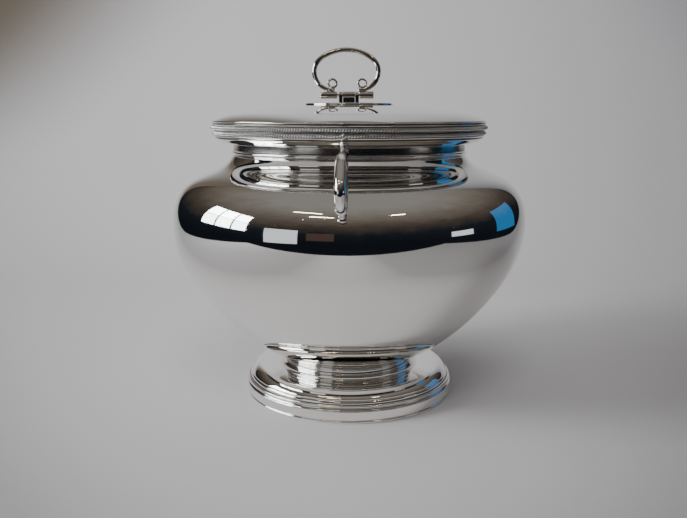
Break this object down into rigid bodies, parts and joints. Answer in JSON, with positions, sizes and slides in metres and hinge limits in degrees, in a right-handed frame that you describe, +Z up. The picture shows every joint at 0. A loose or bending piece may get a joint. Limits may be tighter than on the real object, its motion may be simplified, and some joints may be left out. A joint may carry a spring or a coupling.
{
  "type": "sugar bowl",
  "caption": "Round lidded sugar bowl on a spool foot, with ear handles, rope borders and a domed lift-off lid that carries a hinged wire ring.",
  "frame": {"origin": "centre of the foot's standing ring, on the table", "axes": "+Z up along the axis of the bowl, the ear handles on -Y (front) and +Y (rear), the lid's hinge pin along X"},
  "size_m": [0.1236, 0.1478, 0.122],
  "materials": {
    "bowl_silver": "mirror-polished silver plate",
    "mount_silver": "polished silver plate, slightly tarnished in the grooves",
    "rope_silver": "silver plate, darkened between the twists",
    "foot_silver": "mirror-polished silver plate, spun",
    "handle_silver": "polished cast silver plate",
    "lid_silver": "mirror-polished silver plate",
    "hinge_silver": "polished silver plate, darkened in the joints",
    "ring_silver": "polished silver-plated wire"
  },
  "bodies": {
    "bowl": {"bowl_body": "bowl_silver", "rim_moulding": "mount_silver", "rim_rope_wire": "rope_silver", "foot_collar": "foot_silver", "foot_stem": "foot_silver", "foot_dome": "foot_silver", "foot_band": "foot_silver", "foot_base_wire": "foot_silver", "front_handle": "handle_silver", "front_upper_knop": "handle_silver", "front_lower_knop": "handle_silver", "front_limb_bead": "handle_silver", "rear_handle": "handle_silver", "rear_upper_knop": "handle_silver", "rear_lower_knop": "handle_silver", "rear_limb_bead": "handle_silver"},
    "lid": {"lid_dome": "lid_silver", "lid_edge_band": "mount_silver", "lid_rope_wire": "rope_silver", "lid_bezel": "lid_silver", "finial_plate": "lid_silver", "centre_knuckle": "hinge_silver", "left_lug": "hinge_silver", "right_lug": "hinge_silver"},
    "ring": {"hinge_pin": "hinge_silver", "left_knuckle": "hinge_silver", "right_knuckle": "hinge_silver", "ring_handle": "ring_silver", "left_scroll": "ring_silver", "right_scroll": "ring_silver"}
  },
  "joints": [
    {"name": "lid_lift", "type": "slide", "parent": "bowl", "child": "lid", "axis": [0, 0, 1], "range_m": [0, 0.06]},
    {"name": "ring_fold", "type": "hinge", "parent": "lid", "child": "ring", "pos_m": [0, 0, 0.1058], "axis": [1, 0, 0], "range_deg": [-93, 93]}
  ]
}
